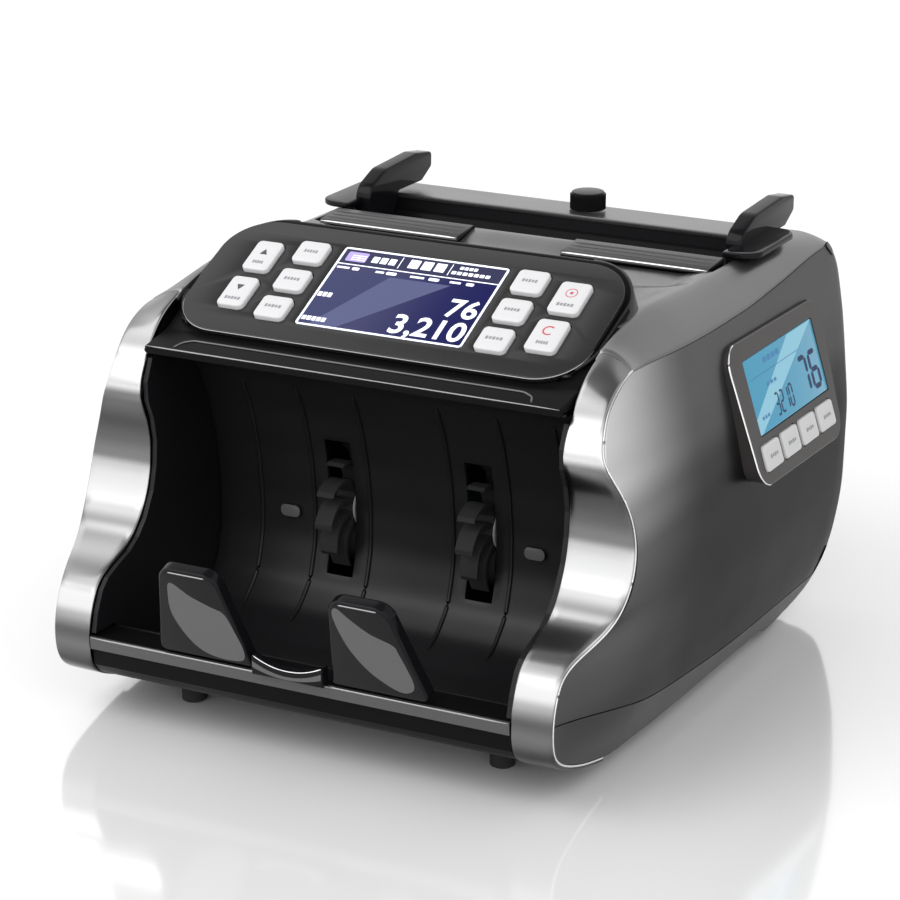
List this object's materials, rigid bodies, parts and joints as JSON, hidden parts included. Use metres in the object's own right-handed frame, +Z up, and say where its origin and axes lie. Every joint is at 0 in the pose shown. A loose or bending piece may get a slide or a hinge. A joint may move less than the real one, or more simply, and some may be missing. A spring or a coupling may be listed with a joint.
{
  "type": "banknote counter",
  "caption": "Table-top banknote counter: open stacker pocket with paddles in front, sloping key panel with screen, note hopper on top, side display, barrel-shaped side covers.",
  "frame": {"origin": "middle of the footprint box, on the surface that the machine stands on", "axes": "+Z up, +Y from the operator to the back of the machine, +X to the operator's right"},
  "size_m": [0.252, 0.3034, 0.1811],
  "materials": {
    "silver_trim": "bright silver metallic paint, softly glossy",
    "gunmetal_cover": "gunmetal metallic paint, satin gloss",
    "top_metallic": "mid-grey metallic paint, satin gloss",
    "sill_strip": "grey metallic paint",
    "black_case": "fine-textured black",
    "gloss_black": "polished black",
    "panel_key": "off-white moulded keys",
    "side_key": "light grey moulded keys",
    "main_lcd": "lit navy colour screen behind clear plastic",
    "side_lcd": "lit pale blue segment screen",
    "steel": "turned and plated",
    "supply_case": "folded sheet",
    "rubber": "dark rubber",
    "circuit_board": "green solder mask"
  },
  "bodies": {
    "root": {"left_front_trim": "silver_trim", "right_front_trim": "silver_trim", "left_side_cover": "gunmetal_cover", "right_side_cover": "gunmetal_cover", "top_cover": "top_metallic", "base_pan": "black_case", "front_sill": "black_case", "sill_trim": "sill_strip", "panel_housing": "black_case", "panel_face": "black_case", "display_screen": "main_lcd", "side_display_housing": "black_case", "side_display_screen": "side_lcd", "pocket_liner": "black_case", "left_stacker_paddle": "gloss_black", "right_stacker_paddle": "gloss_black", "stacker_centre_lip": "gloss_black", "left_frame_plate": "black_case", "right_frame_plate": "black_case", "hopper_tray": "black_case", "left_feed_lip": "top_metallic", "right_feed_lip": "top_metallic", "retard_roller": "rubber", "drive_motor": "steel", "drive_belt": "rubber", "stacker_belt": "rubber", "power_supply": "supply_case", "main_board": "circuit_board", "power_inlet": "black_case", "foot_front_left": "rubber", "foot_front_right": "rubber", "foot_rear_left": "rubber", "foot_rear_right": "rubber"},
    "key_up": {"key_up": "panel_key"},
    "key_down": {"key_down": "panel_key"},
    "key_add": {"key_add": "panel_key"},
    "key_menu": {"key_menu": "panel_key"},
    "key_batch": {"key_batch": "panel_key"},
    "key_currency": {"key_currency": "panel_key"},
    "key_mode": {"key_mode": "panel_key"},
    "key_detail": {"key_detail": "panel_key"},
    "key_start": {"key_start": "panel_key"},
    "key_clear": {"key_clear": "panel_key"},
    "side_key_1": {"side_key_1": "side_key"},
    "side_key_2": {"side_key_2": "side_key"},
    "side_key_3": {"side_key_3": "side_key"},
    "side_key_4": {"side_key_4": "side_key"},
    "left_note_guide": {"left_note_guide": "gloss_black"},
    "right_note_guide": {"right_note_guide": "gloss_black"},
    "feed_roller": {"feed_roller_shaft": "rubber"},
    "pickup_roller": {"pickup_roller_shaft": "rubber"},
    "stacker": {"stacker_shaft": "steel", "left_finger_wheel": "rubber", "right_finger_wheel": "rubber"},
    "motor_rotor": {"motor_pulley": "steel"},
    "gap_knob": {"gap_knob": "gloss_black"},
    "rear_cover": {"rear_cover": "gunmetal_cover"},
    "power_switch": {"power_switch": "gloss_black"}
  },
  "joints": [
    {"name": "key_up_press", "type": "slide", "parent": "root", "child": "key_up", "axis": [0, 0.4462, -0.8949], "range_m": [0, 0.0012], "stiffness_N_per_m": 400, "springref_m": -0.001},
    {"name": "key_down_press", "type": "slide", "parent": "root", "child": "key_down", "axis": [0, 0.4462, -0.8949], "range_m": [0, 0.0012], "stiffness_N_per_m": 400, "springref_m": -0.001},
    {"name": "key_add_press", "type": "slide", "parent": "root", "child": "key_add", "axis": [0, 0.4462, -0.8949], "range_m": [0, 0.0012], "stiffness_N_per_m": 400, "springref_m": -0.001},
    {"name": "key_menu_press", "type": "slide", "parent": "root", "child": "key_menu", "axis": [0, 0.4462, -0.8949], "range_m": [0, 0.0012], "stiffness_N_per_m": 400, "springref_m": -0.001},
    {"name": "key_batch_press", "type": "slide", "parent": "root", "child": "key_batch", "axis": [0, 0.4462, -0.8949], "range_m": [0, 0.0012], "stiffness_N_per_m": 400, "springref_m": -0.001},
    {"name": "key_currency_press", "type": "slide", "parent": "root", "child": "key_currency", "axis": [0, 0.4462, -0.8949], "range_m": [0, 0.0012], "stiffness_N_per_m": 400, "springref_m": -0.001},
    {"name": "key_mode_press", "type": "slide", "parent": "root", "child": "key_mode", "axis": [0, 0.4462, -0.8949], "range_m": [0, 0.0012], "stiffness_N_per_m": 400, "springref_m": -0.001},
    {"name": "key_detail_press", "type": "slide", "parent": "root", "child": "key_detail", "axis": [0, 0.4462, -0.8949], "range_m": [0, 0.0012], "stiffness_N_per_m": 400, "springref_m": -0.001},
    {"name": "key_start_press", "type": "slide", "parent": "root", "child": "key_start", "axis": [0, 0.4462, -0.8949], "range_m": [0, 0.0012], "stiffness_N_per_m": 400, "springref_m": -0.001},
    {"name": "key_clear_press", "type": "slide", "parent": "root", "child": "key_clear", "axis": [0, 0.4462, -0.8949], "range_m": [0, 0.0012], "stiffness_N_per_m": 400, "springref_m": -0.001},
    {"name": "side_key_1_press", "type": "slide", "parent": "root", "child": "side_key_1", "axis": [-0.9552, 0, -0.2961], "range_m": [0, 0.001], "stiffness_N_per_m": 400, "springref_m": -0.001},
    {"name": "side_key_2_press", "type": "slide", "parent": "root", "child": "side_key_2", "axis": [-0.9552, 0, -0.2961], "range_m": [0, 0.001], "stiffness_N_per_m": 400, "springref_m": -0.001},
    {"name": "side_key_3_press", "type": "slide", "parent": "root", "child": "side_key_3", "axis": [-0.9552, 0, -0.2961], "range_m": [0, 0.001], "stiffness_N_per_m": 400, "springref_m": -0.001},
    {"name": "side_key_4_press", "type": "slide", "parent": "root", "child": "side_key_4", "axis": [-0.9552, 0, -0.2961], "range_m": [0, 0.001], "stiffness_N_per_m": 400, "springref_m": -0.001},
    {"name": "left_guide_slide", "type": "slide", "parent": "root", "child": "left_note_guide", "axis": [1, 0, 0], "range_m": [0, 0.025]},
    {"name": "right_guide_slide", "type": "slide", "parent": "root", "child": "right_note_guide", "axis": [-1, 0, 0], "range_m": [0, 0.025]},
    {"name": "feed_roller_turn", "type": "hinge", "parent": "root", "child": "feed_roller", "pos_m": [-0.00398, 0.03583, 0.118], "axis": [1, 0, 0], "continuous": true},
    {"name": "pickup_roller_turn", "type": "hinge", "parent": "root", "child": "pickup_roller", "pos_m": [-0.00398, 0.08132, 0.1186], "axis": [1, 0, 0], "continuous": true},
    {"name": "stacker_turn", "type": "hinge", "parent": "root", "child": "stacker", "pos_m": [-0.00398, -0.03018, 0.07], "axis": [1, 0, 0], "continuous": true},
    {"name": "motor_turn", "type": "hinge", "parent": "root", "child": "motor_rotor", "pos_m": [0.09002, 0.06882, 0.046], "axis": [1, 0, 0], "continuous": true},
    {"name": "gap_knob_turn", "type": "hinge", "parent": "root", "child": "gap_knob", "pos_m": [-0.00398, 0.12283, 0.168], "axis": [0, 0, 1], "range_deg": [-180, 180]},
    {"name": "rear_cover_hinge", "type": "hinge", "parent": "root", "child": "rear_cover", "pos_m": [-0.00398, 0.13523, 0.061], "axis": [-1, 0, 0], "range_deg": [0, 85]},
    {"name": "power_switch_rock", "type": "hinge", "parent": "root", "child": "power_switch", "pos_m": [0.02303, 0.13003, 0.04], "axis": [1, 0, 0], "range_deg": [0, 12]}
  ],
  "couplings": [
    {"joint": "pickup_roller_turn", "follows": "feed_roller_turn", "ratio": 1.25},
    {"joint": "stacker_turn", "follows": "feed_roller_turn", "ratio": 1},
    {"joint": "motor_turn", "follows": "feed_roller_turn", "ratio": 1.5}
  ]
}
